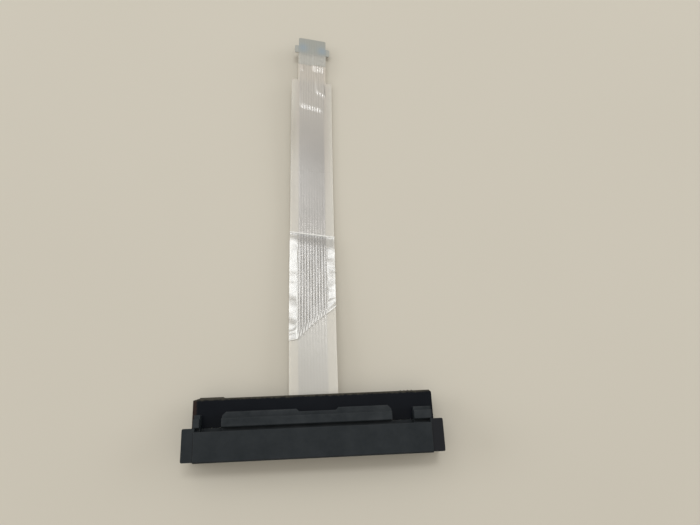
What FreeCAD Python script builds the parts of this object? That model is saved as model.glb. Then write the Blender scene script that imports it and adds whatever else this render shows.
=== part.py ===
import FreeCAD, Part
import math
import os

# Laptop drive cable: a 22-way drive receptacle on a narrow board, with a flat ribbon of ten conductors
# that is soldered under the board and ends in a stiffened insertion tab.
# Millimetres. X runs along the receptacle, its mating face looks towards -Y, the ribbon leaves towards +Y
# and the base lies on Z = 0. The origin is below the middle of the receptacle with its board.

# Receptacle body
nose_end_wall = 1.575
nose_depth = 4.5
nose_height = 5.2
nose_edge_chamfer = 0.2
ear_width = 1.8
ear_setback = 0.15
ear_drop = 0.12
ear_overlap = 0.1
ear_corner_radius = 0.25
seam_width = 0.06
seam_depth = 0.06

# Groove behind the nose, and the jaws that reach back over and under the board
groove_width = 0.57
groove_floor_height = 4.1
jaw_overhang = 0.15
high_ledge_depth = 1.36
low_ledge_depth = 0.97
high_ledge_height = 5.1
low_ledge_height = 4.45
jaw_edge_chamfer = 0.12
middle_jaw_left_inset = 4.15
middle_jaw_right_inset = 6.1
middle_jaw_corner = 0.6
left_jaw_width = 0.9
left_jaw_setback = 0.33
right_jaw_width = 2.75
right_jaw_setback = 0.4
notch_left = -2.7
notch_right = 3.9
notch_depth = 0.42
foot_clearance = 0.4
foot_chamfer = 0.3

# Mating slots: two flat tongues of the drive, each with an upright key at its inner end
contact_pitch = 1.27
signal_count = 7
power_count = 15
row_gap = 6.35
tongue_end_margin = 0.82
tongue_key_margin = 1.97
tongue_thickness = 1.23
tongue_key_height = 2.4
tongue_key_width = 1.1
slot_clearance = 0.08
slot_floor_height = 1.9
slot_depth = 4.2
slot_lead_in = 0.25

# Spring contacts, bent from flat strip
contact_width = 0.6
contact_thickness = 0.2
contact_bend_radius = 0.22
contact_side_clearance = 0.05
cavity_floor_height = 1.1
cavity_lip = 0.35
contact_tip_gap = 0.2
contact_tip_rise = 0.3
contact_crest_reach = 1.15
contact_crest_rise = 0.3
contact_landing_reach = 2.55
tail_knee = 0.25
tail_rise_length = 0.4
tail_length = 0.9

# Board
board_end_reach = 0.75
board_thickness = 0.8
board_bottom_height = 2.2
board_overhang = 2.2
board_front_gap = 0.05
board_left_chamfer = (0.85, 0.24)
board_right_chamfer = (0.35, 0.35)
tab_remnant_inset = 0.95
tab_remnant_width = 3.95
tab_remnant_depth = 0.16
burr_inset = 5.0
burr_pitch = 0.6
burr_count = 4
burr_radius = 0.1

# Solder
solder_thickness = 0.05
solder_side = 0.12
solder_heel_length = 0.4
ribbon_solder_side = 0.03
ribbon_solder_length = 0.95

# Ribbon: ten flat conductors between two films
conductor_count = 10
conductor_pitch = 0.5
conductor_width = 0.3
conductor_thickness = 0.05
ribbon_width = 8.0
upper_film_thickness = 0.08
lower_film_thickness = 0.1
bare_start_length = 1.0
bare_end_length = 4.0
film_overlap_on_board = 1.3
end_setback = 0.15

# Insertion tab
tab_width = 5.5
tab_length = 9.8
shoulder_chamfer = 0.2
stiffener_thickness = 0.2
stiffener_length = 6.1
lug_width = 0.8
lug_far = 1.9
lug_length = 1.6
tab_corner_radius = 0.3

# Clear film patch on the ribbon: its far edge is square and its near edge is cut on a slant
patch_thickness = 0.06
patch_far = 28.4
patch_edge = (
    (-4.05, 8.9),
    (-2.5, 9.2),
    (0.2, 11.8),
    (4.05, 14.8),
)

# Middle line of the ribbon seen from the side, as distance behind the board's rear edge and height.
# The ribbon leaves the board level, sinks under its own weight and lifts a little towards the tab.
route_beyond_board = (
    (4.7, None),
    (17.7, 1.2),
    (36.2, 0.95),
    (54.2, 1.2),
    (71.2, 1.6),
)
arc_share = 0.45
ribbon_reach = 70.9

# Places that follow from the sizes
signal_span = (signal_count - 1) * contact_pitch
power_span = (power_count - 1) * contact_pitch
first_signal_x = -(signal_span + row_gap + power_span) / 2
first_power_x = first_signal_x + signal_span + row_gap
nose_half = -first_signal_x + tongue_end_margin + slot_clearance + nose_end_wall
jaw_half = nose_half + jaw_overhang
middle_jaw_left = -nose_half + middle_jaw_left_inset
middle_jaw_right = nose_half - middle_jaw_right_inset
board_half = nose_half + board_end_reach
overall_depth = nose_depth + groove_width + high_ledge_depth + low_ledge_depth + board_overhang
rearmost_stub = max(tab_remnant_depth, burr_radius)
front_y = -(overall_depth + rearmost_stub) / 2
nose_back_y = front_y + nose_depth
web_back_y = nose_back_y + groove_width
step_y = web_back_y + high_ledge_depth
jaw_back_y = step_y + low_ledge_depth
board_front_y = web_back_y + board_front_gap
board_back_y = jaw_back_y + board_overhang
board_top_height = board_bottom_height + board_thickness
ribbon_height = board_bottom_height - upper_film_thickness
film_start_y = board_back_y - film_overlap_on_board
ribbon_start_y = film_start_y - bare_start_length
tip_y = board_back_y + ribbon_reach
shoulder_y = tip_y - tab_length
cavity_front_y = front_y + cavity_lip
contact_floor = cavity_floor_height + contact_thickness / 2
tail_height = board_bottom_height - solder_thickness - contact_thickness / 2
solder_half = contact_width / 2 + solder_side
below_all = -nose_height
above_all = 2 * nose_height
touching = 1e-6


def vec(x, y, z):
    return FreeCAD.Vector(x, y, z)


def block(x0, x1, y0, y1, z0, z1):
    """A box between two corners."""
    return Part.makeBox(x1 - x0, y1 - y0, z1 - z0, vec(x0, y0, z0))


def prism_along_x(outline, x0, x1):
    """A (y, z) outline drawn out along X."""
    points = [vec(x0, y, z) for y, z in outline]
    return Part.Face(Part.makePolygon(points + points[:1])).extrude(vec(x1 - x0, 0, 0))


def prism_upwards(outline, z0, z1):
    """An (x, y) outline drawn out upwards."""
    points = [vec(x, y, z0) for x, y in outline]
    return Part.Face(Part.makePolygon(points + points[:1])).extrude(vec(0, 0, z1 - z0))


def heading(start, end):
    """Unit direction from one (y, z) point to the next."""
    length = math.dist(start, end)
    return ((end[0] - start[0]) / length, (end[1] - start[1]) / length)


def turn_between(into, out):
    """Signed angle from one direction to the next."""
    cross = into[0] * out[1] - into[1] * out[0]
    return math.atan2(cross, into[0] * out[0] + into[1] * out[1])


def beside(point, way, offset):
    """The place at a distance to the left of a (y, z) point on a line that runs a given way."""
    return (point[0] - way[1] * offset, point[1] + way[0] * offset)


def line_beside(route, radii, offset):
    """Runs and tangent arcs that follow a route at a set distance, as lists of two or three points."""
    pieces = []
    place = beside(route[0], heading(route[0], route[1]), offset)
    for before, corner, after, radius in zip(route, route[1:], route[2:], radii):
        into = heading(before, corner)
        out = heading(corner, after)
        turn = turn_between(into, out)
        reach = radius * math.tan(abs(turn) / 2)
        inner_radius = math.copysign(radius, turn)
        entry = (corner[0] - into[0] * reach, corner[1] - into[1] * reach)
        leaving = (corner[0] + out[0] * reach, corner[1] + out[1] * reach)
        centre = beside(entry, into, inner_radius)
        half = turn / 2
        midway = (
            into[0] * math.cos(half) - into[1] * math.sin(half),
            into[0] * math.sin(half) + into[1] * math.cos(half),
        )
        arc_start = beside(entry, into, offset)
        arc_end = beside(leaving, out, offset)
        pieces.append((place, arc_start))
        pieces.append((arc_start, beside(centre, midway, offset - inner_radius), arc_end))
        place = arc_end
    pieces.append((place, beside(route[-1], heading(route[-2], route[-1]), offset)))
    return pieces


def edge_through(piece, x):
    """A straight edge for two (y, z) points, or an arc for three."""
    points = [vec(x, y, z) for y, z in piece]
    if len(points) == 2:
        return Part.LineSegment(*points).toShape()
    return Part.Arc(*points).toShape()


def strip(route, radii, low, high, x0, x1):
    """A flat strip that follows a (y, z) route between two distances from it, from x0 to x1."""
    below = line_beside(route, radii, low)
    above = line_beside(route, radii, high)
    ends = [(below[0][0], above[0][0]), (below[-1][-1], above[-1][-1])]
    edges = [edge_through(piece, x0) for piece in below + above + ends]
    outline = Part.Wire(Part.__sortEdges__(edges))
    return Part.Face(outline).extrude(vec(x1 - x0, 0, 0))


def rounded_upright(shape, radius, wanted):
    """Rounds the upright edges whose middle point passes a test."""
    chosen = []
    for edge in shape.Edges:
        low, high = edge.BoundBox.ZMin, edge.BoundBox.ZMax
        middle = edge.BoundBox.Center
        upright = edge.BoundBox.XLength + edge.BoundBox.YLength < touching and high > low
        if upright and wanted(middle):
            chosen.append(edge)
    return shape.makeFillet(radius, chosen)


def contact_places():
    """X of each contact, signal row first."""
    signal = [first_signal_x + n * contact_pitch for n in range(signal_count)]
    power = [first_power_x + n * contact_pitch for n in range(power_count)]
    return signal, power


# The receptacle housing is one moulding


def nose():
    """The bar that enters the drive's shroud, with its long edges and front broken by chamfers."""
    bar = block(-nose_half, nose_half, front_y, nose_back_y, 0, nose_height)
    front_edges = [
        edge
        for edge in bar.Edges
        if edge.BoundBox.YMax < front_y + touching and edge.BoundBox.XLength > nose_half
    ]
    return bar.makeChamfer(nose_edge_chamfer, front_edges)


def ear(side):
    """The guide block at one end of the nose, a little lower and further back than the nose."""
    inner = nose_half - ear_overlap
    outer = nose_half + ear_width
    shape = block(inner, outer, front_y + ear_setback, web_back_y, 0, nose_height - ear_drop)
    shape = rounded_upright(shape, ear_corner_radius, lambda middle: middle.x > outer - touching)
    if side < 0:
        shape = shape.mirror(vec(0, 0, 0), vec(1, 0, 0))
    return shape


def seam(side):
    """The fine groove in the top between the nose and an ear."""
    edge = side * nose_half
    floor = nose_height - ear_drop - seam_depth
    return block(
        edge - seam_width / 2,
        edge + seam_width / 2,
        front_y - nose_depth,
        nose_back_y,
        floor,
        above_all,
    )


def web():
    """The wall behind the nose that carries the jaws, under the groove."""
    full = block(-nose_half, nose_half, nose_back_y, web_back_y, 0, board_top_height)
    raised = [(middle_jaw_left, middle_jaw_right), left_jaw_span(), right_jaw_span()]
    for x0, x1 in raised:
        full = full.fuse(block(x0, x1, nose_back_y, web_back_y, 0, groove_floor_height))
    return full


def left_jaw_span():
    return (-jaw_half, -jaw_half + left_jaw_width)


def right_jaw_span():
    return (jaw_half - right_jaw_width, jaw_half)


def stepped_jaw(x0, x1, back_y):
    """A jaw over the board: a high ledge in front and a lower one behind it."""
    edge = jaw_edge_chamfer
    outline = (
        (web_back_y, board_top_height),
        (back_y, board_top_height),
        (back_y, low_ledge_height - edge),
        (back_y - edge, low_ledge_height),
        (step_y, low_ledge_height),
        (step_y, high_ledge_height - edge),
        (step_y - edge, high_ledge_height),
        (web_back_y + edge, high_ledge_height),
        (web_back_y, high_ledge_height - edge),
    )
    return prism_along_x(outline, x0, x1)


def middle_jaw():
    """The long jaw, its rear corners cut back and its rear edge notched."""
    shape = stepped_jaw(middle_jaw_left, middle_jaw_right, jaw_back_y)
    for tip, inward in ((middle_jaw_left, 1), (middle_jaw_right, -1)):
        corner = (
            (tip, jaw_back_y),
            (tip, jaw_back_y - middle_jaw_corner),
            (tip + inward * middle_jaw_corner, jaw_back_y),
        )
        shape = shape.cut(prism_upwards(corner, 0, above_all))
    notch = (
        (notch_left, jaw_back_y),
        (notch_left + notch_depth, jaw_back_y - notch_depth),
        (notch_right - notch_depth, jaw_back_y - notch_depth),
        (notch_right, jaw_back_y),
    )
    return shape.cut(prism_upwards(notch, 0, above_all))


def end_jaws():
    """The short jaws over the two ends of the board."""
    left = stepped_jaw(*left_jaw_span(), jaw_back_y - left_jaw_setback)
    right = stepped_jaw(*right_jaw_span(), jaw_back_y - right_jaw_setback)
    return [left, right]


def foot(side):
    """The support under one end of the board, which also steadies the housing on its base."""
    outline = (
        (web_back_y, 0),
        (jaw_back_y - foot_chamfer, 0),
        (jaw_back_y, foot_chamfer),
        (jaw_back_y, board_bottom_height),
        (web_back_y, board_bottom_height),
    )
    outer = side * jaw_half
    inner = side * (-first_signal_x + solder_half + foot_clearance)
    return prism_along_x(outline, min(outer, inner), max(outer, inner))


def slot_outline(x_end, x_key, clearance, y):
    """The L-shaped section of one tongue with clearance all round, at a given depth."""
    away = math.copysign(1, x_end - x_key)
    low = slot_floor_height - clearance
    high = slot_floor_height + tongue_thickness + clearance
    key_top = slot_floor_height + tongue_key_height + clearance
    end = x_end + away * clearance
    key = x_key - away * clearance
    key_side = x_key + away * (tongue_key_width + clearance)
    section = (
        (end, low),
        (key, low),
        (key, key_top),
        (key_side, key_top),
        (key_side, high),
        (end, high),
    )
    points = [vec(x, y, z) for x, z in section]
    return Part.makePolygon(points + points[:1])


def mating_slot(x_end, x_key):
    """One tongue's slot, flared at its mouth so that the tongue finds its way in."""
    inner = slot_outline(x_end, x_key, slot_clearance, front_y)
    body = Part.Face(inner).extrude(vec(0, slot_depth, 0))
    mouth = slot_outline(x_end, x_key, slot_clearance + slot_lead_in, front_y)
    throat = slot_outline(x_end, x_key, slot_clearance, front_y + slot_lead_in)
    return body.fuse(Part.makeLoft([mouth, throat], True, True))


def contact_cavity(x):
    """The channel of one contact, below the slot and out through the web."""
    half = contact_width / 2 + contact_side_clearance
    return block(x - half, x + half, cavity_front_y, web_back_y, cavity_floor_height, slot_floor_height)


def receptacle_housing():
    shape = nose()
    for side in (-1, 1):
        shape = shape.fuse(ear(side))
        shape = shape.fuse(foot(side))
    shape = shape.fuse(web())
    shape = shape.fuse(middle_jaw())
    for jaw in end_jaws():
        shape = shape.fuse(jaw)
    shape = shape.removeSplitter()
    signal, power = contact_places()
    cuts = [
        mating_slot(signal[0] - tongue_end_margin, signal[-1] + tongue_key_margin),
        mating_slot(power[-1] + tongue_end_margin, power[0] - tongue_key_margin),
    ]
    cuts += [contact_cavity(x) for x in signal + power]
    cuts += [seam(side) for side in (-1, 1)]
    for cut in cuts:
        shape = shape.cut(cut)
    return shape.removeSplitter()


# Spring contacts


def contact_route():
    """Side view of one contact: sprung tip and crest, the run on the cavity floor, and the tail."""
    crest_height = slot_floor_height + contact_crest_rise - contact_thickness / 2
    knee_y = web_back_y + tail_knee
    foot_y = knee_y + tail_rise_length
    return (
        (cavity_front_y + contact_tip_gap, contact_floor + contact_tip_rise),
        (front_y + contact_crest_reach, crest_height),
        (front_y + contact_landing_reach, contact_floor),
        (knee_y, contact_floor),
        (foot_y, tail_height),
        (foot_y + tail_length, tail_height),
    )


def contact(x):
    route = contact_route()
    radii = [contact_bend_radius] * (len(route) - 2)
    half = contact_width / 2
    thickness = contact_thickness / 2
    return strip(route, radii, -thickness, thickness, x - half, x + half)


def contact_solder():
    """Solder under each tail, with a fillet that rises from the board at the tail's end."""
    start_y = contact_route()[-2][0]
    end_y = contact_route()[-1][0]
    tail_top = tail_height + contact_thickness / 2
    tail_bottom = tail_height - contact_thickness / 2
    outline = (
        (start_y, board_bottom_height),
        (start_y, tail_top),
        (end_y, tail_top),
        (end_y, tail_bottom),
        (end_y + solder_heel_length, board_bottom_height),
    )
    signal, power = contact_places()
    joints = [prism_along_x(outline, x - solder_half, x + solder_half) for x in signal + power]
    return Part.makeCompound(joints)


# Board


def board_outline():
    """The board from above, with its rear corners cut and the stub of a panel tab at the back."""
    left_x, left_y = board_left_chamfer
    right_x, right_y = board_right_chamfer
    tab_left = -board_half + tab_remnant_inset
    tab_right = tab_left + tab_remnant_width
    return (
        (-board_half, board_front_y),
        (board_half, board_front_y),
        (board_half, board_back_y - right_y),
        (board_half - right_x, board_back_y),
        (tab_right, board_back_y),
        (tab_right - tab_remnant_depth, board_back_y + tab_remnant_depth),
        (tab_left + tab_remnant_depth, board_back_y + tab_remnant_depth),
        (tab_left, board_back_y),
        (-board_half + left_x, board_back_y),
        (-board_half, board_back_y - left_y),
    )


def paddle_board():
    shape = prism_upwards(board_outline(), board_bottom_height, board_top_height)
    for n in range(burr_count):
        foot_point = vec(board_half - burr_inset + n * burr_pitch, board_back_y, board_bottom_height)
        shape = shape.fuse(Part.makeCylinder(burr_radius, board_thickness, foot_point))
    return shape.removeSplitter()


# Ribbon


def ribbon_route():
    """The ribbon's middle line in (y, z), from its bare start under the board to its tip."""
    route = [(ribbon_start_y, ribbon_height)]
    for distance, height in route_beyond_board:
        route.append((board_back_y + distance, ribbon_height if height is None else height))
    return route


def ribbon_radii(route):
    """Each arc is as large as its two runs allow."""
    radii = []
    for before, corner, after in zip(route, route[1:], route[2:]):
        turn = abs(turn_between(heading(before, corner), heading(corner, after)))
        shorter = min(math.dist(before, corner), math.dist(corner, after))
        radii.append(arc_share * shorter / math.tan(turn / 2))
    return radii


def ribbon_strip(low, high, x0, x1):
    """A strip of the ribbon between two distances from its middle line."""
    route = ribbon_route()
    return strip(route, ribbon_radii(route), low, high, x0, x1)


def conductor_places():
    middle = (conductor_count - 1) / 2
    return [(n - middle) * conductor_pitch for n in range(conductor_count)]


def conductor_strip(x):
    half = conductor_width / 2
    return ribbon_strip(-conductor_thickness, 0, x - half, x + half)


def conductor(x):
    """One flat conductor, bare under the board and under the tab."""
    room = conductor_pitch
    length_wanted = block(x - room, x + room, ribbon_start_y, tip_y - end_setback, below_all, above_all)
    return conductor_strip(x).common(length_wanted)


def wide_prism():
    """The full width of the ribbon up to its shoulders, drawn out upwards."""
    wide = ribbon_width / 2
    step = shoulder_chamfer
    outline = (
        (-wide, film_start_y),
        (wide, film_start_y),
        (wide, shoulder_y - step),
        (wide - step, shoulder_y),
        (-wide + step, shoulder_y),
        (-wide, shoulder_y - step),
    )
    return prism_upwards(outline, below_all, above_all)


def tab_prism(start_y, end_y):
    """The narrow tab between two places, drawn out upwards."""
    half = tab_width / 2
    return block(-half, half, start_y, end_y, below_all, above_all)


def lug_prism():
    """The two locking lugs beside the tab, with rounded corners, drawn out upwards."""
    half = tab_width / 2 + lug_width
    far_y = tip_y - lug_far
    bar = block(-half, half, far_y - lug_length, far_y, below_all, above_all)
    return rounded_upright(bar, tab_corner_radius, lambda middle: True)


def tip_prism(start_y):
    """The end of the tab with its lugs and rounded tip, drawn out upwards."""
    tab = tab_prism(start_y, tip_y)
    tab = rounded_upright(tab, tab_corner_radius, lambda middle: middle.y > tip_y - touching)
    return tab.fuse(lug_prism())


def upper_film():
    """The film over the conductors, which carries the stiffener and its lugs."""
    whole = ribbon_strip(0, upper_film_thickness, -ribbon_width / 2, ribbon_width / 2)
    return whole.common(wide_prism().fuse(tip_prism(shoulder_y))).removeSplitter()


def lower_film():
    """The film under the conductors, grooved for them, which ends short of the tip."""
    whole = ribbon_strip(-lower_film_thickness, 0, -ribbon_width / 2, ribbon_width / 2)
    shape = whole.common(wide_prism().fuse(tab_prism(shoulder_y, tip_y - bare_end_length)))
    shape = shape.removeSplitter()
    grooves = [conductor_strip(x) for x in conductor_places()]
    return shape.cut(Part.makeCompound(grooves))


def end_stiffener():
    """The stiff strip on the tab, with a lug at each side and its tip corners rounded."""
    low = upper_film_thickness
    whole = ribbon_strip(low, low + stiffener_thickness, -ribbon_width / 2, ribbon_width / 2)
    return whole.common(tip_prism(tip_y - stiffener_length)).removeSplitter()


def clear_patch():
    """The clear film patch stuck on the ribbon."""
    low = upper_film_thickness
    half = max(abs(x) for x, _ in patch_edge)
    whole = ribbon_strip(low, low + patch_thickness, -half, half)
    outline = [(x, board_back_y + y) for x, y in patch_edge]
    far_y = board_back_y + patch_far
    outline += [(half, far_y), (-half, far_y)]
    return whole.common(prism_upwards(outline, below_all, above_all))


def ribbon_solder():
    """The thin solder bed between each bare conductor and the board."""
    half = conductor_width / 2 + ribbon_solder_side
    y0 = film_start_y - ribbon_solder_length
    beds = [
        block(x - half, x + half, y0, film_start_y, ribbon_height, board_bottom_height)
        for x in conductor_places()
    ]
    return Part.makeCompound(beds)


def all_parts():
    """Every piece of the assembly by name."""
    parts = {
        "receptacle_housing": receptacle_housing(),
        "paddle_board": paddle_board(),
        "contact_solder": contact_solder(),
        "ribbon_solder": ribbon_solder(),
        "ribbon_upper_film": upper_film(),
        "ribbon_lower_film": lower_film(),
        "end_stiffener": end_stiffener(),
        "clear_patch": clear_patch(),
    }
    signal, power = contact_places()
    for n, x in enumerate(signal, 1):
        parts[f"signal_contact_{n}"] = contact(x)
    for n, x in enumerate(power, 1):
        parts[f"power_contact_{n}"] = contact(x)
    for n, x in enumerate(conductor_places(), 1):
        parts[f"ribbon_conductor_{n}"] = conductor(x)
    return parts


def report_ribbon():
    """Prints the arcs of the ribbon and how its volume compares with its section times its length."""
    route = ribbon_route()
    radii = ribbon_radii(route)
    whole = ribbon_strip(-lower_film_thickness, 0, 0, ribbon_width)
    centre = line_beside(route, radii, -lower_film_thickness / 2)
    length = sum(edge_through(piece, 0).Length for piece in centre)
    share = whole.Volume / (length * ribbon_width * lower_film_thickness)
    print("ribbon arc radii:", [round(radius, 1) for radius in radii])
    print("ribbon length:", round(length, 2), "volume over section times length:", round(share, 6))


os.makedirs("parts", exist_ok=True)
for name, shape in all_parts().items():
    shape.exportStep(os.path.join("parts", name + ".step"))
report_ribbon()
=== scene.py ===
import math
import bpy
import numpy as np
from mathutils import Matrix, Vector, noise


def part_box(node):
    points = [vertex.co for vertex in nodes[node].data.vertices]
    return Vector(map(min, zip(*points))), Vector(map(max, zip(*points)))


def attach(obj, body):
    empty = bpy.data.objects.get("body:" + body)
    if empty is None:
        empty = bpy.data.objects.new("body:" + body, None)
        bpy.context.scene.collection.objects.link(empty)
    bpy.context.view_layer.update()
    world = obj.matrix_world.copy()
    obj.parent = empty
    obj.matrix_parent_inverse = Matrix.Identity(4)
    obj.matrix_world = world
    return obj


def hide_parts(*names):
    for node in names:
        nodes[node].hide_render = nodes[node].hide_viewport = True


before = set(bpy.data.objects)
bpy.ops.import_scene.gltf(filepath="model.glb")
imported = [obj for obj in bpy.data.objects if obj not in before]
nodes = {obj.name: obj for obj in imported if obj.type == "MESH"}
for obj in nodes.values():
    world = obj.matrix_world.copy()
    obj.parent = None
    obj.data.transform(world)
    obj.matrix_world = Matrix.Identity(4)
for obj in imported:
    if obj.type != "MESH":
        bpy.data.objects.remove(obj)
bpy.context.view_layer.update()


# Receptacle housing: one moulding in black glass-filled plastic, matte as it leaves its mould.
# It holds the spring contacts and grips the board between its jaws. Its edges are painted lighter as a
# painted highlight, and its right ear darker as painted shade.
mm = 0.001
ear_painted_shade = (0.0050, 0.0058, 0.0085, 1)
housing_dark = (0.0080, 0.0115, 0.0145, 1)
housing_light = (0.0225, 0.0270, 0.0310, 1)
housing_highlight = (0.0520, 0.0570, 0.0600, 1)
housing_gloss = 0.22
housing_roughness = (0.62, 0.46)
housing_mottle_scale = 330
housing_mottle_detail = 5
housing_mottle_contrast = 0.62
housing_grain_scale = 6500
housing_grain_strength = 0.35
housing_grain_depth = 0.02 * mm
housing_edge_radius = 0.10 * mm
bar_until = 0.25 * mm
bar_shade = 0.5
right_ear_from = 18.3 * mm
ear_painted_shade_share = 0.95
shade_blend = 0.1 * mm
highlight_radius = 0.07 * mm
highlight_strength = 0.7
highlight_starts = 0.99
highlight_full = 0.85
noise_low = 0.3
noise_high = 0.7


def put(tree, kind, inputs=(), **settings):
    """Adds a node with its settings, and feeds its inputs from values or other nodes' outputs."""
    node = tree.nodes.new(kind)
    for name, value in settings.items():
        setattr(node, name, value)
    for socket, value in dict(inputs).items():
        if isinstance(value, bpy.types.NodeSocket):
            tree.links.new(value, node.inputs[socket])
        else:
            node.inputs[socket].default_value = value
    return node


def new_finish(name, roughness=0.5, metallic=0.0, gloss=0.5):
    """A material with one Principled shader, its node tree and that shader."""
    material = bpy.data.materials.new(name)
    material.use_nodes = True
    tree = material.node_tree
    shader = tree.nodes["Principled BSDF"]
    shader.inputs["Roughness"].default_value = roughness
    shader.inputs["Metallic"].default_value = metallic
    shader.inputs["Specular IOR Level"].default_value = gloss
    return material, tree, shader


def noise_on(tree, place, scale, detail=3.0, roughness=0.5):
    inputs = {"Vector": place, "Scale": scale, "Detail": detail, "Roughness": roughness}
    return put(tree, "ShaderNodeTexNoise", inputs).outputs[0]


def between(tree, factor, first, second):
    """A colour between two, by a factor."""
    return put(tree, "ShaderNodeMix", {0: factor, 6: first, 7: second}, data_type="RGBA").outputs[2]


def rescaled(tree, value, low, high, to_low, to_high):
    inputs = {0: value, 1: low, 2: high, 3: to_low, 4: to_high}
    return put(tree, "ShaderNodeMapRange", inputs).outputs[0]


def over_noise(tree, pattern, ends):
    """A value that goes from one end to the other with a noise, over the range where most of it lies."""
    return rescaled(tree, pattern, noise_low, noise_high, *ends)


def object_place(tree):
    return put(tree, "ShaderNodeTexCoord").outputs["Object"]


def across_and_along(tree, place):
    """The X and the Y of a place."""
    parts = put(tree, "ShaderNodeSeparateXYZ", {0: place}).outputs
    return parts[0], parts[1]


def edge_highlight(tree, radius, strength):
    """Painted highlight: how much lighter a place is painted, strongest where the surface turns a corner
    within a radius.
    """
    rounded = put(tree, "ShaderNodeBevel", {"Radius": radius}, samples=8).outputs[0]
    flat = put(tree, "ShaderNodeNewGeometry").outputs["Normal"]
    match = put(tree, "ShaderNodeVectorMath", {0: rounded, 1: flat}, operation="DOT_PRODUCT")
    return rescaled(tree, match.outputs["Value"], highlight_starts, highlight_full, 0, strength)


def add_relief(tree, shader, pattern, strength, depth, **more):
    """Gives a surface the fine relief of a pattern."""
    bump = {"Height": pattern, "Strength": strength, "Distance": depth, **more}
    tree.links.new(put(tree, "ShaderNodeBump", bump).outputs[0], shader.inputs["Normal"])


def housing_plastic():
    """Softly mottled and darker on its front bar, with a painted highlight along its edges. Its right ear
    is painted a deeper black: painted shade.
    """
    material, tree, shader = new_finish("housing_plastic", gloss=housing_gloss)
    place = object_place(tree)
    mottle = noise_on(tree, place, housing_mottle_scale, housing_mottle_detail, housing_mottle_contrast)
    body = between(tree, over_noise(tree, mottle, (0, 1)), housing_dark, housing_light)
    x, y = across_and_along(tree, place)
    bar = rescaled(tree, y, bar_until, bar_until + shade_blend, bar_shade, 0)
    body = between(tree, bar, body, housing_dark)
    # Painted shade: the right ear is painted a deeper black.
    ear = rescaled(tree, x, right_ear_from, right_ear_from + shade_blend, 0, ear_painted_shade_share)
    body = between(tree, ear, body, ear_painted_shade)
    # Painted highlight: the edges are painted lighter than the body.
    highlighted = between(tree, edge_highlight(tree, highlight_radius, highlight_strength), body, housing_highlight)
    tree.links.new(highlighted, shader.inputs["Base Color"])
    tree.links.new(over_noise(tree, mottle, housing_roughness), shader.inputs["Roughness"])
    edges = put(tree, "ShaderNodeBevel", {"Radius": housing_edge_radius}, samples=6).outputs[0]
    grain = noise_on(tree, place, housing_grain_scale)
    add_relief(tree, shader, grain, housing_grain_strength, housing_grain_depth, Normal=edges)
    return material


def dress(material, names):
    """Gives a material to CAD nodes that stay as they are."""
    for name in names:
        nodes[name].data.materials.clear()
        nodes[name].data.materials.append(material)


dress(housing_plastic(), ["receptacle_housing"])


# Spring contacts: 22 strips stamped from copper alloy, bent and flashed with gold.
# They are pressed into the housing from behind, and their tails are soldered under the board.
gold_bright = (0.88, 0.66, 0.30, 1)
gold_worn = (0.70, 0.47, 0.19, 1)
gold_roughness = (0.2, 0.38)
drawn_scale = (9000, 500, 9000)
drawn_detail = 2
drawn_strength = 0.2
drawn_depth = 0.005 * mm
tail_painted_shade = (0.22, 0.21, 0.20, 1)
tail_from = -0.6 * mm
tail_blend = 0.2 * mm


def stretched(tree, place, scale):
    return put(tree, "ShaderNodeMapping", {"Vector": place, "Scale": scale}).outputs[0]


def contact_gold():
    """Streaked along the strips, as they were drawn. The tails are painted dark grey: painted shade."""
    material, tree, shader = new_finish("contact_gold", metallic=1.0)
    place = object_place(tree)
    streaks = noise_on(tree, stretched(tree, place, drawn_scale), 1, drawn_detail)
    gold = between(tree, streaks, gold_bright, gold_worn)
    # Painted shade: the tails are painted dark grey.
    tail = rescaled(tree, across_and_along(tree, place)[1], tail_from, tail_from + tail_blend, 0, 1)
    tree.links.new(between(tree, tail, gold, tail_painted_shade), shader.inputs["Base Color"])
    tree.links.new(over_noise(tree, streaks, gold_roughness), shader.inputs["Roughness"])
    add_relief(tree, shader, streaks, drawn_strength, drawn_depth)
    return material


dress(contact_gold(), [name for name in nodes if "_contact_" in name])


# Board: a narrow strip of black-masked laminate that joins the receptacle to the ribbon.
# It was snapped out of its panel, so its cut edges show bare brown fibre.
board_low, board_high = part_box("paddle_board")
mask_black = (0.0026, 0.0036, 0.0062, 1)
mask_sheen = (0.0056, 0.0072, 0.0104, 1)
mask_gloss = 0.08
mask_roughness = 0.38
mask_mottle_scale = 420
mask_mottle_detail = 4
bare_fibre = (0.0300, 0.0190, 0.0165, 1)
bare_edge_width = 0.70 * mm
bare_blend = 0.3 * mm
fibre_roughness = 0.75
bare_rear = (0.0620, 0.0560, 0.0440, 1)
bare_rear_width = 0.30 * mm
bare_rear_share = 0.9
ragged_scale = 2500
ragged_reach = 0.5 * mm
weave_pitch = 0.45 * mm
weave_distortion = 1.5
weave_strength = 0.12
weave_depth = 0.01 * mm


def sums(tree, operation, first, second=0.0):
    return put(tree, "ShaderNodeMath", {0: first, 1: second}, operation=operation).outputs[0]


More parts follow.
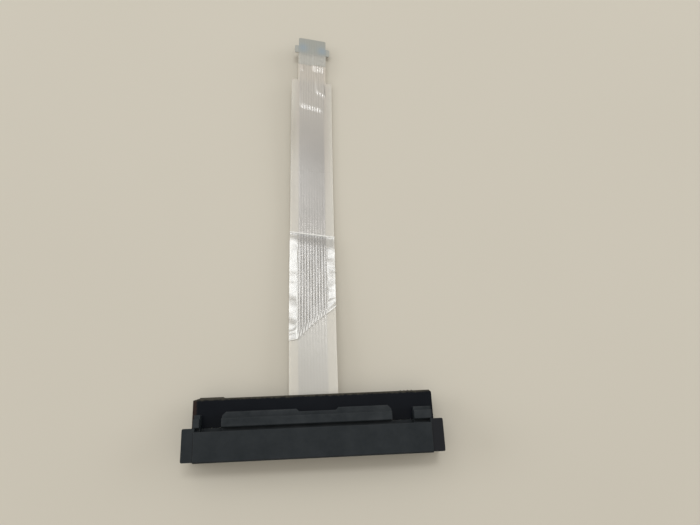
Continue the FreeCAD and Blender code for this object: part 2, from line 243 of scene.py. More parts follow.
def board_mask():
    """Black mask with a faint weave under it. Its left and rear edges are bare along a ragged line."""
    material, tree, shader = new_finish("board_mask", gloss=mask_gloss)
    place = object_place(tree)
    mottle = noise_on(tree, place, mask_mottle_scale, mask_mottle_detail)
    mask = between(tree, mottle, mask_black, mask_sheen)
    ragged = sums(tree, "MULTIPLY", noise_on(tree, place, ragged_scale), ragged_reach)
    x, y = across_and_along(tree, place)
    bare_from = board_low.x + bare_edge_width
    bare = rescaled(tree, sums(tree, "ADD", x, ragged), bare_from, bare_from + bare_blend, 1, 0)
    rear_from = board_high.y - bare_rear_width
    rear = rescaled(tree, sums(tree, "ADD", y, ragged), rear_from, board_high.y, 0, bare_rear_share)
    sides = between(tree, bare, mask, bare_fibre)
    tree.links.new(between(tree, rear, sides, bare_rear), shader.inputs["Base Color"])
    roughness = rescaled(tree, bare, 0, 1, mask_roughness, fibre_roughness)
    tree.links.new(roughness, shader.inputs["Roughness"])
    weave = {"Vector": place, "Scale": 1 / weave_pitch, "Distortion": weave_distortion}
    weave = put(tree, "ShaderNodeTexWave", weave).outputs["Fac"]
    add_relief(tree, shader, weave, weave_strength, weave_depth)
    return material


dress(board_mask(), ["paddle_board"])


# Solder: small satin beads under the contacts' tails and the ribbon's bare conductor ends.
# It was reflowed from paste, so its skin is slightly frosted.
solder_bright = (0.66, 0.67, 0.68, 1)
solder_dull = (0.42, 0.43, 0.44, 1)
solder_roughness = (0.22, 0.46)
frost_scale = 5200
frost_detail = 4
frost_contrast = 0.65
frost_strength = 0.5
frost_depth = 0.01 * mm


def solder_skin():
    material, tree, shader = new_finish("solder_skin", metallic=1.0)
    frost = noise_on(tree, object_place(tree), frost_scale, frost_detail, frost_contrast)
    tree.links.new(between(tree, frost, solder_bright, solder_dull), shader.inputs["Base Color"])
    tree.links.new(over_noise(tree, frost, solder_roughness), shader.inputs["Roughness"])
    add_relief(tree, shader, frost, frost_strength, frost_depth)
    return material


dress(solder_skin(), ["contact_solder", "ribbon_solder"])


# Ribbon's line: it leaves the board level, sinks to the table under its own weight and lifts at the tab.
# It drifts a little to the right and twists on its way, so that its left edge ends up higher.
# All that is made for the ribbon is measured in millimetres, its places along Y from the mating face.
route_points = (
    (0.00, 2.42, 2.12),
    (0.00, 9.42, 2.12),
    (0.15, 22.42, 1.20),
    (0.45, 40.92, 0.95),
    (0.72, 58.92, 1.20),
    (1.22, 75.92, 1.60),
)
route_order = 3
route_steps = 24
ribbon_start = 2.42
ribbon_tip = 75.62
ribbon_width = 8.0
shoulder = 65.82
twist_angle = math.radians(12.3)
twist_from = 5.42


def ribbon_route():
    """The ribbon's middle line as a smooth curve through its route's points."""
    curve = bpy.data.curves.new("ribbon_route", "CURVE")
    curve.dimensions = "3D"
    spline = curve.splines.new("NURBS")
    spline.points.add(len(route_points) - 1)
    for point, place in zip(spline.points, route_points):
        point.co = (*(c * mm for c in place), 1)
    spline.order_u = route_order
    spline.use_endpoint_u = True
    spline.resolution_u = route_steps
    route = bpy.data.objects.new("ribbon_route", curve)
    bpy.context.scene.collection.objects.link(route)
    return route


route = ribbon_route()
bpy.context.view_layer.update()
route_mesh = bpy.data.meshes.new_from_object(route)

# The ribbon has been handled: it dips to a fold where the patch ends, and has small buckles near the tab.
# Each buckle is a small ridge, steep towards the board and gentle towards the tip.
# It has a middle (across, along), a reach (across, along), a slant and a height.
fold_place = 33.17
fold_slant = -0.10
fold_width = 2.4
fold_recovery = 22.0
fold_depth = 0.12
gentle_side = 3.0
buckle_full_until = 0.8
buckle_gone_at = 1.2
buckles = (
    ((0.1, 60.15), (2.3, 1.10), -0.20, 0.145),
    ((1.70, 63.5), (0.9, 1.10), -0.55, 0.17),
    ((1.5, 69.5), (1.4, 1.50), -0.10, 0.27),
    ((-2.0, 68.5), (0.30, 0.60), 0.0, 0.11),
)
sharp_from = math.radians(50)


def smooth_step(tree, value, low, high, to_low, to_high):
    inputs = {0: value, 1: low, 2: high, 3: to_low, 4: to_high}
    return put(tree, "ShaderNodeMapRange", inputs, interpolation_type="SMOOTHSTEP").outputs[0]


def past(tree, x, y, x0, y0, slant):
    """How far a place lies beyond a slanted line through (x0, y0), and how far to its side."""
    off_x = sums(tree, "SUBTRACT", x, x0 * mm)
    off_y = sums(tree, "SUBTRACT", y, (y0 - ribbon_start) * mm)
    return off_x, sums(tree, "SUBTRACT", off_y, sums(tree, "MULTIPLY", off_x, slant))


def ribbon_lift(tree, x, y):
    """How far the whole ribbon stands off its line: the fold and the buckles."""
    across_fold = past(tree, x, y, 0, fold_place, fold_slant)[1]
    dip = smooth_step(tree, across_fold, -fold_width * mm, 0.0, 0.0, -fold_depth * mm)
    rise = smooth_step(tree, across_fold, 0.0, fold_recovery * mm, 0.0, fold_depth * mm)
    lift = sums(tree, "ADD", dip, rise)
    for (x0, y0), (reach_x, reach_y), slant, height in buckles:
        off_x, off_y = past(tree, x, y, x0, y0, slant)
        rise = rescaled(tree, off_y, -reach_y * mm, 0.0, 0.0, height * mm)
        fall = rescaled(tree, off_y, 0.0, gentle_side * reach_y * mm, 0.0, -height * mm)
        flank = sums(tree, "ADD", rise, fall)
        full_until = buckle_full_until * reach_x * mm
        gone_at = buckle_gone_at * reach_x * mm
        fading = smooth_step(tree, sums(tree, "ABSOLUTE", off_x), full_until, gone_at, 1.0, 0.0)
        lift = sums(tree, "ADD", lift, sums(tree, "MULTIPLY", flank, fading))
    return lift


def vectors(tree, operation, inputs):
    return put(tree, "ShaderNodeVectorMath", inputs, operation=operation).outputs[0]


def laying_tree():
    """Repeats a flat piece side by side and lays it along the route: Y runs along it and X across it."""
    tree = bpy.data.node_groups.new("lay_on_route", "GeometryNodeTree")
    ports = (
        ("Piece", "NodeSocketGeometry"),
        ("Route", "NodeSocketObject"),
        ("Copies", "NodeSocketInt"),
        ("Pitch", "NodeSocketFloat"),
        ("Twist", "NodeSocketFloat"),
        ("Twist from", "NodeSocketFloat"),
        ("Twist to", "NodeSocketFloat"),
        ("Finish", "NodeSocketMaterial"),
    )
    for name, kind in ports:
        tree.interface.new_socket(name, in_out="INPUT", socket_type=kind)
    tree.interface.new_socket("Laid", in_out="OUTPUT", socket_type="NodeSocketGeometry")
    given = put(tree, "NodeGroupInput").outputs
    spread = sums(tree, "MULTIPLY", sums(tree, "SUBTRACT", given["Copies"], 1.0), given["Pitch"])
    first = put(tree, "ShaderNodeCombineXYZ", {0: sums(tree, "MULTIPLY", spread, -0.5)}).outputs[0]
    step = put(tree, "ShaderNodeCombineXYZ", {0: given["Pitch"]}).outputs[0]
    row = {"Count": given["Copies"], "Start Location": first, "Offset": step}
    places = put(tree, "GeometryNodeMeshLine", row).outputs[0]
    copies = put(tree, "GeometryNodeInstanceOnPoints", {"Points": places, "Instance": given["Piece"]})
    flat = put(tree, "GeometryNodeRealizeInstances", {0: copies.outputs[0]}).outputs[0]
    here = put(tree, "GeometryNodeInputPosition").outputs[0]
    x, y, z = put(tree, "ShaderNodeSeparateXYZ", {0: here}).outputs
    line = put(tree, "GeometryNodeObjectInfo", {"Object": given["Route"]}).outputs["Geometry"]
    sample = put(tree, "GeometryNodeSampleCurve", {"Curves": line, "Length": y}, mode="LENGTH")
    along = sample.outputs["Tangent"]
    side = vectors(tree, "NORMALIZE", {0: vectors(tree, "CROSS_PRODUCT", {0: along, 1: (0, 0, 1)})})
    above = vectors(tree, "CROSS_PRODUCT", {0: side, 1: along})
    lift = sums(tree, "ADD", z, ribbon_lift(tree, x, y))
    across = vectors(tree, "SCALE", {0: side, "Scale": x})
    raised = vectors(tree, "SCALE", {0: above, "Scale": lift})
    offset = vectors(tree, "ADD", {0: across, 1: raised})
    angle = rescaled(tree, y, given["Twist from"], given["Twist to"], 0.0, given["Twist"])
    turn = {"Vector": offset, "Axis": along, "Angle": angle}
    turned = put(tree, "ShaderNodeVectorRotate", turn, rotation_type="AXIS_ANGLE").outputs[0]
    place = vectors(tree, "ADD", {0: sample.outputs["Position"], 1: turned})
    laid = put(tree, "GeometryNodeSetPosition", {"Geometry": flat, "Position": place}).outputs[0]
    whole = put(tree, "GeometryNodeRealizeInstances", {0: laid}).outputs[0]
    dressed = put(tree, "GeometryNodeSetMaterial", {"Geometry": whole, "Material": given["Finish"]})
    put(tree, "NodeGroupOutput", {0: dressed.outputs[0]})
    return tree


laying = laying_tree()
ports = {item.name: item.identifier for item in laying.interface.items_tree if item.in_out == "INPUT"}


def lay(name, flat_mesh, finish, copies=1, pitch=0.0):
    """Makes a plain mesh piece of a flat mesh laid along the ribbon's route."""
    piece = bpy.data.objects.new(name, flat_mesh)
    bpy.context.scene.collection.objects.link(piece)
    modifier = piece.modifiers.new("laid", "NODES")
    modifier.node_group = laying
    modifier[ports["Route"]] = route
    modifier[ports["Copies"]] = copies
    modifier[ports["Pitch"]] = pitch * mm
    modifier[ports["Twist"]] = twist_angle
    modifier[ports["Twist from"]] = (twist_from - ribbon_start) * mm
    modifier[ports["Twist to"]] = (shoulder - ribbon_start) * mm
    modifier[ports["Finish"]] = finish
    depsgraph = bpy.context.evaluated_depsgraph_get()
    mesh = bpy.data.meshes.new_from_object(
        piece.evaluated_get(depsgraph), preserve_all_data_layers=True, depsgraph=depsgraph
    )
    piece.modifiers.remove(modifier)
    piece.data = mesh
    mesh.name = name
    mesh.shade_smooth()
    mesh.set_sharp_from_angle(angle=sharp_from)
    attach(piece, "root")
    return piece


# Conductors: ten flat strips of tinned copper, rolled and laid side by side between the films.
# They lie bare under the board, where they are soldered, and bare under the tab, where a socket grips them.
conductor_count = 10
conductor_pitch = 0.5
conductor_width = 0.3
conductor_low = -0.045
conductor_high = 0.012
conductor_end = 75.47
tin_bright = (0.50, 0.48, 0.47, 1)
tin_dull = (0.36, 0.345, 0.34, 1)
tin_roughness = (0.26, 0.42)
rolled_scale = (9.0, 0.25, 1.0)
conductor_cell = (conductor_width / 2, 0.4)


def flat_place(tree):
    """Where a point of a sheet was before it was laid on the route."""
    return put(tree, "ShaderNodeAttribute", attribute_name="flat_place").outputs["Vector"]


def tinned_copper():
    material, tree, shader = new_finish("tinned_copper", metallic=1.0)
    streaks = noise_on(tree, stretched(tree, flat_place(tree), rolled_scale), 1.0)
    tree.links.new(between(tree, streaks, tin_bright, tin_dull), shader.inputs["Base Color"])
    tree.links.new(over_noise(tree, streaks, tin_roughness), shader.inputs["Roughness"])
    return material


def inside(outline, x, y):
    """True for each place that lies inside a closed outline."""
    found = np.zeros(np.shape(x), bool)
    for (x0, y0), (x1, y1) in zip(outline, np.roll(outline, -1, axis=0)):
        if y0 != y1:
            crosses = (y0 > y) != (y1 > y)
            found ^= crosses & (x < x0 + (x1 - x0) * (y - y0) / (y1 - y0))
    return found


def nearest_on(line, points):
    """The nearest place on a line of straight stretches to each point."""
    best = np.full(len(points), np.inf)
    places = points.copy()
    for a, b in zip(line[:-1], line[1:]):
        way = b - a
        share = np.clip(((points - a) @ way) / (way @ way), 0, 1)
        foot = a + share[:, None] * way
        distance = np.linalg.norm(points - foot, axis=1)
        closer = distance < best
        best[closer] = distance[closer]
        places[closer] = foot[closer]
    return places


def cut_sheet(name, outline, low, high, relief, cell, thinned=None):
    """A closed flat sheet cut to an outline, lifted by a relief and thinned from above."""
    outline = np.array(outline, float)
    x0, y0 = outline.min(0)
    x1, y1 = outline.max(0)
    across = np.linspace(x0, x1, round((x1 - x0) / cell[0]) + 1)
    along = np.linspace(y0, y1, round((y1 - y0) / cell[1]) + 1)
    mid_x, mid_y = np.meshgrid((across[1:] + across[:-1]) / 2, (along[1:] + along[:-1]) / 2)
    rows, columns = np.nonzero(inside(outline, mid_x, mid_y))
    stride = len(across)
    corner = rows * stride + columns
    quads = np.stack([corner, corner + 1, corner + 1 + stride, corner + stride], axis=1)
    used, quads = np.unique(quads, return_inverse=True)
    quads = quads.reshape(-1, 4)
    places = np.stack([across[used % stride], along[used // stride]], axis=1)
    sides = np.concatenate([quads[:, [k, (k + 1) % 4]] for k in range(4)])
    keys = {(a, b) for a, b in sides.tolist()}
    rim = np.array([(a, b) for a, b in sides.tolist() if (b, a) not in keys])
    rim_points = np.unique(rim)
    border = np.vstack([outline, outline[:1]])
    places[rim_points] = nearest_on(border, places[rim_points])
    lift = relief(places[:, 0], places[:, 1])
    count = len(places)
    spared = thinned(places[:, 0], places[:, 1]) if thinned else 0.0
    top = np.column_stack([places, high + lift - spared])
    bottom = np.column_stack([places, low + lift])
    points = np.concatenate([top, bottom])
    walls = np.stack([rim[:, 0], rim[:, 0] + count, rim[:, 1] + count, rim[:, 1]], axis=1)
    faces = np.concatenate([quads, quads[:, ::-1] + count, walls])
    points[:, 1] -= ribbon_start
    mesh = bpy.data.meshes.new(name + "_flat")
    mesh.from_pydata((points * mm).tolist(), [], faces.tolist())
    flat_places = np.column_stack([np.tile(places, (2, 1)), points[:, 2]]).astype(np.float32)
    kept = mesh.attributes.new("flat_place", "FLOAT_VECTOR", "POINT")
    kept.data.foreach_set("vector", flat_places.ravel())
    mesh.update()
    return mesh


def level(x, y):
    """The relief of a sheet that lies plain and flat."""
    return np.zeros_like(x)


def conductor_strip():
    half = conductor_width / 2
    outline = [(-half, ribbon_start), (half, ribbon_start), (half, conductor_end), (-half, conductor_end)]
    return cut_sheet("conductor", outline, conductor_low, conductor_high, level, conductor_cell)


conductors = lay("flat_conductors", conductor_strip(), tinned_copper(), conductor_count, conductor_pitch)
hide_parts(*[f"ribbon_conductor_{n}" for n in range(1, conductor_count + 1)])


# Films: two milky polyester films with adhesive between them, pressed together round the conductors.
# The upper one shows the conductors as ridges and runs to the tip. The lower one stops short of it.
film_start = 3.42
shoulder_cut = 0.2
tab_half = 2.75
bare_tab = 4.0
lug_half = 3.55
lug_far = 73.72
lug_near = 72.12
corner_radius = 0.3
upper_low = 0.016
upper_high = 0.085
upper_cell = (1 / 20, 0.24)
lower_low = -0.10
lower_high = -0.004
lower_cell = (0.125, 0.25)
corner_steps = 5
arch_low = 0.004
arch_high = 0.023
tall_from = 57.0
tall_to = 60.0
arch_uneven = (0.5, (0.73, 0.12, 20))
noise_seed = Vector((3.1, 7.7, 1.3))
margin_milk = (0.98, 0.93, 0.86, 1)
margin_milk_cool = (0.95, 0.935, 0.87, 1)
margin_grain = (0.9, 0.12, 1.0)
margin_grain_detail = 4
margin_inner = (0.90, 0.85, 0.79, 1)
margin_inner_across = (2.7, 3.6)
margin_inner_begins = (30, 45)
left_margin_painted_shade = (0.85, 0.81, 0.74, 1)
left_shade_across = (-2.7, -3.3)
left_shade_begins = (33, 42)
left_shade_ends = (55, 61)
band_edge = (2.3, 2.6)
band_painted_sheen = (0.87, 0.85, 0.80, 1)
band_sheen_ends = (25, 36)
band_milk_far = (0.685, 0.66, 0.632, 1)
band_milk_tab = (0.905, 0.862, 0.805, 1)
band_tab_begins = (49, 61)
tab_milk = (0.97, 0.905, 0.82, 1)
tab_begins = (shoulder - 0.9, shoulder + 0.8)
dull_below = 36.0
dull_roughness = 0.42
polished_from = 56.0
polished_roughness = 0.12
milk_roughness = 0.6
upper_milk = 0.34
upper_tint = (0.97, 0.965, 0.955, 1)
upper_ior = 1.41
lower_milk = 0.62
lower_roughness = 0.45
lower_tint = (0.94, 0.93, 0.90, 1)
lower_ior = 1.35


def made(tree, value):
    """A plain value, or what a function makes of it in a tree."""
    return value(tree) if callable(value) else value


def clear_finish(name, milk, gloss_roughness, see_through, ior, body_colour):
    """A film that shows what is behind it: part milky body, part see-through, with a glossy face."""
    material, tree, body = new_finish(name, milk_roughness, gloss=0.0)
    tree.links.new(body_colour(tree), body.inputs["Base Color"])
    clear = put(tree, "ShaderNodeBsdfTransparent", {"Color": made(tree, see_through)}).outputs[0]
    inner = {0: made(tree, milk), 1: clear, 2: body.outputs[0]}
    inner = put(tree, "ShaderNodeMixShader", inner).outputs[0]
    gloss = {"Color": (1, 1, 1, 1), "Roughness": made(tree, gloss_roughness)}
    gloss = put(tree, "ShaderNodeBsdfAnisotropic", gloss).outputs[0]
    mirror = put(tree, "ShaderNodeFresnel", {"IOR": ior}).outputs[0]
    whole = put(tree, "ShaderNodeMixShader", {0: mirror, 1: inner, 2: gloss}).outputs[0]
    tree.links.new(whole, tree.nodes["Material Output"].inputs["Surface"])
    return material


def off_band(tree, over_band, over_margin):
    """A value that differs between the conductors' band and the margins beside it."""
    off_middle = sums(tree, "ABSOLUTE", across_and_along(tree, flat_place(tree))[0])
    return rescaled(tree, off_middle, *band_edge, over_band, over_margin)


def film_colour(tree):
    """Warm and pale in the margins and the tab, cooler over the conductors. The band is painted lighter
    towards the board, a painted sheen, and the left margin darker from the fold most of the way to the tab,
    a painted shade.
    """
    place = flat_place(tree)
    x, y = across_and_along(tree, place)
    grain = noise_on(tree, stretched(tree, place, margin_grain), 1.0, margin_grain_detail)
    margin = between(tree, grain, margin_milk, margin_milk_cool)
    inner = rescaled(tree, sums(tree, "ABSOLUTE", x), *margin_inner_across, 1, 0)
    inner = sums(tree, "MULTIPLY", inner, rescaled(tree, y, *margin_inner_begins, 0, 1))
    margin = between(tree, inner, margin, margin_inner)
    # Painted shade: the left margin is painted darker from the fold most of the way to the tab.
    begins = rescaled(tree, y, *left_shade_begins, 0, 1)
    stretch = sums(tree, "MULTIPLY", begins, rescaled(tree, y, *left_shade_ends, 1, 0))
    left = sums(tree, "MULTIPLY", rescaled(tree, x, *left_shade_across, 0, 1), stretch)
    margin = between(tree, left, margin, left_margin_painted_shade)
    # Painted sheen: the band is painted lighter towards the board.
    band = between(tree, rescaled(tree, y, *band_sheen_ends, 1, 0), band_milk_far, band_painted_sheen)
    band = between(tree, rescaled(tree, y, *band_tab_begins, 0, 1), band, band_milk_tab)
    body = between(tree, off_band(tree, 0, 1), band, margin)
    return between(tree, rescaled(tree, y, *tab_begins, 0, 1), body, tab_milk)


def film_polish(tree):
    """The film is glossy near its tab and rubbed dull towards the board."""
    y = across_and_along(tree, flat_place(tree))[1]
    return rescaled(tree, y, dull_below, polished_from, dull_roughness, polished_roughness)


def random_part(x, y, part):
    """Soft random heights. A part has its greatest height, and its scale across, scale along and layer."""
    height, (scale_x, scale_y, layer) = part
    places = zip(x * scale_x, y * scale_y)
    return height * np.array([noise.noise(noise_seed + Vector((a, b, layer))) for a, b in places])


def arched(x, y):
    """The rounded ridge that a film pressed over the conductors has on each of them."""
    band = conductor_count * conductor_pitch / 2
    uneven = 1 + random_part(np.floor(x / conductor_pitch), y, arch_uneven)
    height = np.interp(y, (tall_from, tall_to), (arch_low, arch_high))
    ridge = np.abs(np.cos(math.pi * (x / conductor_pitch - 0.5)))
    return height * uneven * ridge * (np.abs(x) < band)


def wide_part():
    """Half of the outline of the ribbon's full width, up the right side to the tab."""
    half = ribbon_width / 2
    return [
        (half, film_start),
        (half, shoulder - shoulder_cut),
        (half - shoulder_cut, shoulder),
        (tab_half, shoulder),
    ]


def mirrored(side):
    """A right side and its mirror image as one closed outline."""
    return side + [(-x, y) for x, y in reversed(side)]


def rounded_corner(x, y, start):
    """A quarter turn of an outline about (x, y), anticlockwise from a start angle in degrees."""
    turn = [math.radians(start + 90 * n / corner_steps) for n in range(corner_steps + 1)]
    return [(x + corner_radius * math.cos(a), y + corner_radius * math.sin(a)) for a in turn]


def lug_side():
    """The right edge of the tab past a lug to the rounded tip."""
    near = rounded_corner(lug_half - corner_radius, lug_near + corner_radius, -90)
    far = rounded_corner(lug_half - corner_radius, lug_far - corner_radius, 0)
    tip = rounded_corner(tab_half - corner_radius, ribbon_tip - corner_radius, 0)
    return [(tab_half, lug_near)] + near + far + [(tab_half, lug_far)] + tip


upper_outline = mirrored(wide_part() + lug_side())
lower_outline = mirrored(wide_part() + [(tab_half, ribbon_tip - bare_tab)])
upper_finish = clear_finish("upper_film", upper_milk, film_polish, upper_tint, upper_ior, film_colour)
lower_finish = clear_finish("lower_film", lower_milk, lower_roughness, lower_tint, lower_ior, film_colour)

upper_film = lay(
    "upper_film",
    cut_sheet("upper_film", upper_outline, upper_low, upper_high, arched, upper_cell),
    upper_finish,
)
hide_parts("ribbon_upper_film")

lower_film = lay(
    "lower_film",
    cut_sheet("lower_film", lower_outline, lower_low, lower_high, level, lower_cell),
    lower_finish,
)
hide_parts("ribbon_lower_film")


# End stiffener: a strip of blue film glued on the tab, so that it can be pushed into its socket.
# Two small lugs, one at each side, keep it there. Its blue print fades out towards the ribbon.
stiffener_from = 69.52
stiffener_low = 0.09
stiffener_high = 0.28
near_edge_thickness = 0.02
taper_length = 1.2
stiffener_cell = (0.0625, 0.15)
stiffener_roughness = 0.38
stiffener_tint = (0.97, 0.98, 0.98, 1)
stiffener_grey = (0.350, 0.355, 0.325, 1)
stiffener_blue = (0.300, 0.350, 0.385, 1)
stiffener_pale = (0.65, 0.635, 0.59, 1)
lug_grey = (0.390, 0.395, 0.365, 1)
lug_blend = 0.25
cloud_scale = 0.8
blue_places = ((-1.9, 73.4), (2.0, 73.2))
print_full_from = 72.3
print_gone_at = 71.6
faded_body = 0.45
printed_body = 0.95


def bell(tree, off_x, off_y):
    """1 in the middle, falling off smoothly over about a millimetre."""
    squares = [sums(tree, "MULTIPLY", off, off) for off in (off_x, off_y)]
    return sums(tree, "EXPONENT", sums(tree, "MULTIPLY", sums(tree, "ADD", *squares), -1.0))


def stiffener_finish():
    """Grey with two bluer places and grey lugs, pale and clearer where the print fades out."""
    material, tree, body = new_finish("stiffener_film", stiffener_roughness)
    place = flat_place(tree)
    x, y = across_and_along(tree, place)
    blue = 0.0
    for x0, y0 in blue_places:
        spot = bell(tree, sums(tree, "SUBTRACT", x, x0), sums(tree, "SUBTRACT", y, y0))
        blue = sums(tree, "ADD", blue, spot)
    solid = between(tree, blue, stiffener_grey, stiffener_blue)
    lug = rescaled(tree, sums(tree, "ABSOLUTE", x), tab_half, tab_half + lug_blend, 0, 1)
    solid = between(tree, lug, solid, lug_grey)
    cloud = noise_on(tree, place, cloud_scale)
    edge = sums(tree, "ADD", y, sums(tree, "SUBTRACT", cloud, 0.5))
    printed = rescaled(tree, edge, print_gone_at, print_full_from, 0, 1)
    tree.links.new(between(tree, printed, stiffener_pale, solid), body.inputs["Base Color"])
    shown = rescaled(tree, printed, 0, 1, faded_body, printed_body)
    clear = put(tree, "ShaderNodeBsdfTransparent", {"Color": stiffener_tint}).outputs[0]
    whole = put(tree, "ShaderNodeMixShader", {0: shown, 1: clear, 2: body.outputs[0]}).outputs[0]
    tree.links.new(whole, tree.nodes["Material Output"].inputs["Surface"])
    return material


def tapered(x, y):
    """The stiffener's near end is pressed thin, so that the tab bends there without a step."""
    share = np.clip((y - stiffener_from) / taper_length, 0, 1)
    return (stiffener_high - stiffener_low - near_edge_thickness) * (1 - share * share * (3 - 2 * share))


stiffener_outline = mirrored([(tab_half, stiffener_from)] + lug_side())
stiffener_sheet = cut_sheet(
    "stiffener", stiffener_outline, stiffener_low, stiffener_high, arched, stiffener_cell, tapered
)
stiffener = lay("tab_stiffener", stiffener_sheet, stiffener_finish())
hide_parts("end_stiffener")


# Clear patch: a piece of clear glossy film stuck over the ribbon, its near edge cut on a slant.
# It has crumpled over the bare margins, tents over the conductors and curls up along its cut edges.
patch_low = 0.094
patch_high = 0.14
patch_near = ((-4.05, 13.62), (-2.5, 13.92), (0.2, 16.52), (4.05, 19.52))
patch_far = ((4.05, 32.75), (-4.05, 33.6))
patch_cell = (1 / 20, 0.125)
patch_gap = 0.004
margin_from = 2.45
margin_blend = 0.3
pulled_within = 2.4
tent_height = 0.034
tent_uneven = (0.026, (1.9, 0.3, 0))
tent_at_far_edge = 0.35
tent_base = 0.022
tent_wave = (0.010, (1.3, 0.25, 4))
broad_crease = (0.060, (0.35, 0.5, 9))
fine_crease = (0.014, (0.9, 1.2, 12))
crease_at_sides = (0.9, 1.35)
crease_base = 0.05
comb_turn = 1.0
near_curl_height = 0.06
near_curl_reach = 0.55
second_curl_height = 0.03
second_curl_place = 1.4
second_curl_reach = 0.25
far_lip_height = 0.06
far_lip_reach = 0.22
line_highlight = 2.5
line_width = 0.11
line_uneven = (0.4, (1.2, 1.2, 16))
comb_slant = 0.25
comb_contrast = 1.8
comb_threshold = 0.2
comb_reach = 0.75
comb_falloff = 4
rims = ((1.0, 0.0, 0.10), (0.9, 1.2, 0.16))
left_rim = (0.6, 2.0, 0.16)
seam_place = -2.68
seam_width = 0.11
seam_white = 0.9
seam_uneven = (0.7, (0.1, 0.35, 24))
seam_end = 27.0
seam_fading = 4
patch_haze = 0.03
highlight_haze = 0.9
patch_over_band = (0.95, 0.945, 0.94, 1)
patch_over_margin = (1.0, 1.0, 1.0, 1)
patch_roughness_band = 0.28
patch_roughness_margin = 0.22
patch_ior = 1.47
patch_white = (0.97, 0.96, 0.93, 1)
patch_grey = (0.90, 0.89, 0.86, 1)
patch_cloud_scale = 0.9


def edge_distance(edge, x, y):
    points = np.column_stack([x, y])
    return np.linalg.norm(points - nearest_on(np.array(edge), points), axis=1)


def on_margin(x):
    """1 on the bare margins beside the conductors, 0 between them."""
    return np.clip((np.abs(x) - margin_from) / margin_blend, 0, 1)


def hill(distance, reach, falloff=2):
    """1 where the distance is nothing, falling off smoothly about its reach."""
    return np.exp(-(distance / reach) ** falloff)


def crumpled(x, y):
    """The patch's relief: tents over the conductors, creases in its margins and curled edges."""
    margin = on_margin(x)
    far = edge_distance(patch_far, x, y)
    near = edge_distance(patch_near, x, y)
    pulled = np.clip(far / pulled_within, 0, 1)
    across = np.abs(2 * ((x / conductor_pitch) % 1.0) - 1)
    tents = (1 - across ** 4) * (tent_height + random_part(x, y, tent_uneven))
    tents = tents * (tent_at_far_edge + (1 - tent_at_far_edge) * pulled)
    tents += tent_base + random_part(x, y, tent_wave)
    creases = random_part(x, y, broad_crease) + random_part(x, y, fine_crease)
    creases *= np.interp(x, (-ribbon_width / 2, ribbon_width / 2), crease_at_sides)
    creases = crease_base + creases * pulled
    comb = 0.5 + 0.5 * np.cos(2 * math.pi * x / conductor_pitch + comb_turn)
    curl = near_curl_height * hill(near, near_curl_reach) * (margin + (1 - margin) * comb)
    second = second_curl_height * hill(near - second_curl_place, second_curl_reach) * margin
    lip = far_lip_height * hill(far, far_lip_reach)
    return tents * (1 - margin) + creases * margin + curl + second + lip + patch_gap


def painted_highlights(x, y):
    """Painted highlights: how white the patch is painted along its cut and creased edges, where they would
    catch the light.

    A line follows its far edge, a comb of curls and three rims follow its near edge, and a seam runs
    beside the conductors on the left. A rim has its whiteness, its place off the edge and its reach.
    """
    margin = on_margin(x)
    far = edge_distance(patch_far, x, y)
    near = edge_distance(patch_near, x, y)
    line = (1.0 + random_part(x, y, line_uneven)) * np.clip(line_highlight - far / line_width, 0, 1)
    comb = np.cos(2 * math.pi * (x - comb_slant * near) / conductor_pitch + comb_turn)
    comb = np.clip(comb * comb_contrast - comb_threshold, 0, 1)
    curls = comb * hill(near, comb_reach, comb_falloff) * (1 - margin)
    rim_highlights = sum(white * hill(near - place, reach) for white, place, reach in rims)
    white, place, reach = left_rim
    rim_highlights = (rim_highlights + white * hill(near - place, reach) * (x < 0)) * margin
    seam = hill(x - seam_place, seam_width) * np.clip(seam_white + random_part(x, y, seam_uneven), 0, 1)
    seam = seam * np.clip((seam_end - y) / seam_fading, 0, 1)
    return np.clip(line + curls + rim_highlights + seam, 0, 1)


def patch_milk(tree):
    """Clear, but hazy white where its painted highlights lie."""
    white = put(tree, "ShaderNodeAttribute", attribute_name="painted_highlights").outputs["Fac"]
    return rescaled(tree, white, 0, 1, patch_haze, highlight_haze)


def patch_tint(tree):
    """Clear on the margins, a little darker over the conductors."""
    return between(tree, off_band(tree, 0, 1), patch_over_band, patch_over_margin)


def patch_polish(tree):
    """Glossier on the margins than over the conductors."""
    return off_band(tree, patch_roughness_band, patch_roughness_margin)


def patch_colour(tree):
    cloud = noise_on(tree, flat_place(tree), patch_cloud_scale)
    return between(tree, cloud, patch_white, patch_grey)


def note(mesh, name, measure):
    """Writes a measure of each vertex's flat place on a flat mesh, for its material."""
    places = np.empty((len(mesh.vertices), 3), np.float32)
    mesh.attributes["flat_place"].data.foreach_get("vector", places.ravel())
    values = measure(places[:, 0].astype(float), places[:, 1].astype(float))
    mesh.attributes.new(name, "FLOAT", "POINT").data.foreach_set("value", values.astype(np.float32))


patch_outline = list(patch_near) + list(patch_far)
patch_sheet = cut_sheet("patch", patch_outline, patch_low, patch_high, crumpled, patch_cell)
# Painted highlights: the patch is painted hazy white along its edges, where they would catch the light.
note(patch_sheet, "painted_highlights", painted_highlights)
patch_finish = clear_finish("patch_film", patch_milk, patch_polish, patch_tint, patch_ior, patch_colour)
patch = lay("crumpled_patch", patch_sheet, patch_finish)
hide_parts("clear_patch")

bpy.data.objects.remove(route)


# Table top: a large pale warm surface that the cable lies on. It isn't part of the object.
table_light = (0.600, 0.562, 0.484, 1)
table_shade = (0.567, 0.529, 0.453, 1)
table_half = 4.0
table_roughness = 0.7
table_cloud_scale = 14


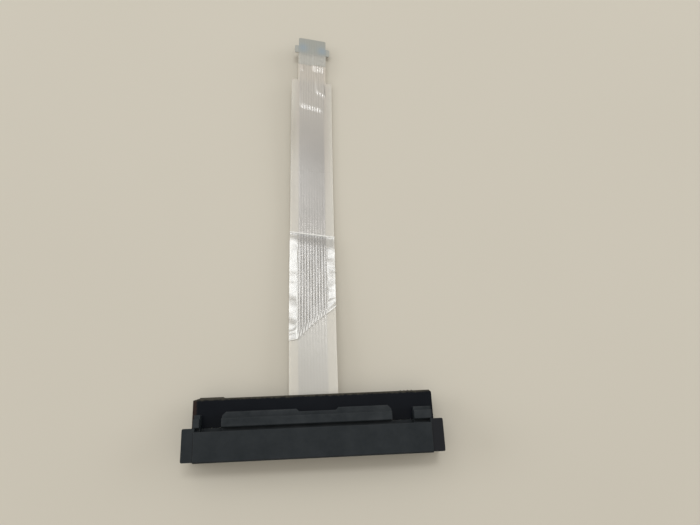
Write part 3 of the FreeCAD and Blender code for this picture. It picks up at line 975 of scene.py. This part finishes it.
def table_top():
    mesh = bpy.data.meshes.new("table")
    h = table_half
    mesh.from_pydata([(-h, -h, 0), (h, -h, 0), (h, h, 0), (-h, h, 0)], [], [(0, 1, 2, 3)])
    table = bpy.data.objects.new("table", mesh)
    bpy.context.scene.collection.objects.link(table)
    material, tree, shader = new_finish("table_paint", table_roughness)
    cloud = noise_on(tree, object_place(tree), table_cloud_scale)
    tree.links.new(between(tree, cloud, table_light, table_shade), shader.inputs["Base Color"])
    mesh.materials.append(material)


table_top()


# Light: a broad soft panel behind to the left, a low one at each side, and a pale room.
# A small bright panel hangs level overhead, where the patch mirrors it.
# Each panel has a place, a size and a radiance.
soft_panels = (
    ((-0.60, 0.85, 1.30), (1.20, 1.20), 0.95),
    ((-1.50, 0.35, 0.52), (0.90, 0.70), 4.0),
    ((1.50, 0.35, 0.52), (0.90, 0.70), 3.2),
)
bright_panel = ((0.060, 0.2125, 0.500), (0.14, 0.099), 12.5)
panel_colour = (0.955, 0.980, 1.0)
room_colour = (1.0, 0.962, 0.885, 1)
room_light = 0.585


def light_panel(name, place, size, radiance, aimed=True):
    lamp = bpy.data.lights.new(name, "AREA")
    lamp.shape = "RECTANGLE"
    lamp.size, lamp.size_y = size
    lamp.energy = radiance * math.pi * size[0] * size[1]
    lamp.color = panel_colour
    panel = bpy.data.objects.new(name, lamp)
    panel.location = place
    if aimed:
        panel.rotation_euler = Vector(place).to_track_quat("Z", "Y").to_euler()
    bpy.context.scene.collection.objects.link(panel)


def room():
    world = bpy.data.worlds.new("room")
    bpy.context.scene.world = world
    world.use_nodes = True
    background = world.node_tree.nodes["Background"]
    background.inputs["Color"].default_value = room_colour
    background.inputs["Strength"].default_value = room_light


for n, (place, size, radiance) in enumerate(soft_panels, 1):
    light_panel(f"panel_{n}", place, size, radiance)
light_panel("bright_panel", *bright_panel, aimed=False)
room()


# Camera: above the receptacle and looking down along the ribbon, as in the photograph.
camera_place = Vector((1.6, -1.79, 90.34)) * mm
camera_down = math.radians(71.532)
camera_right = math.radians(10.364)
camera_roll = math.radians(8.308)
focal_pixels = 526
image_width = 700
sensor_width = 36
nearest_seen = 1 * mm


def look():
    ahead = Vector((
        math.sin(camera_right) * math.cos(camera_down),
        math.cos(camera_right) * math.cos(camera_down),
        -math.sin(camera_down),
    ))
    level_side = Vector((math.cos(camera_right), -math.sin(camera_right), 0))
    level_up = level_side.cross(ahead)
    side = math.cos(camera_roll) * level_side + math.sin(camera_roll) * level_up
    upward = -math.sin(camera_roll) * level_side + math.cos(camera_roll) * level_up
    lens = bpy.data.cameras.new("camera")
    lens.sensor_width = sensor_width
    lens.lens = focal_pixels / image_width * sensor_width
    lens.clip_start = nearest_seen
    camera = bpy.data.objects.new("camera", lens)
    camera.matrix_world = Matrix((
        (side.x, upward.x, -ahead.x, camera_place.x),
        (side.y, upward.y, -ahead.y, camera_place.y),
        (side.z, upward.z, -ahead.z, camera_place.z),
        (0, 0, 0, 1),
    ))
    bpy.context.scene.collection.objects.link(camera)
    bpy.context.scene.camera = camera


look()
bpy.context.scene.view_settings.view_transform = "Standard"
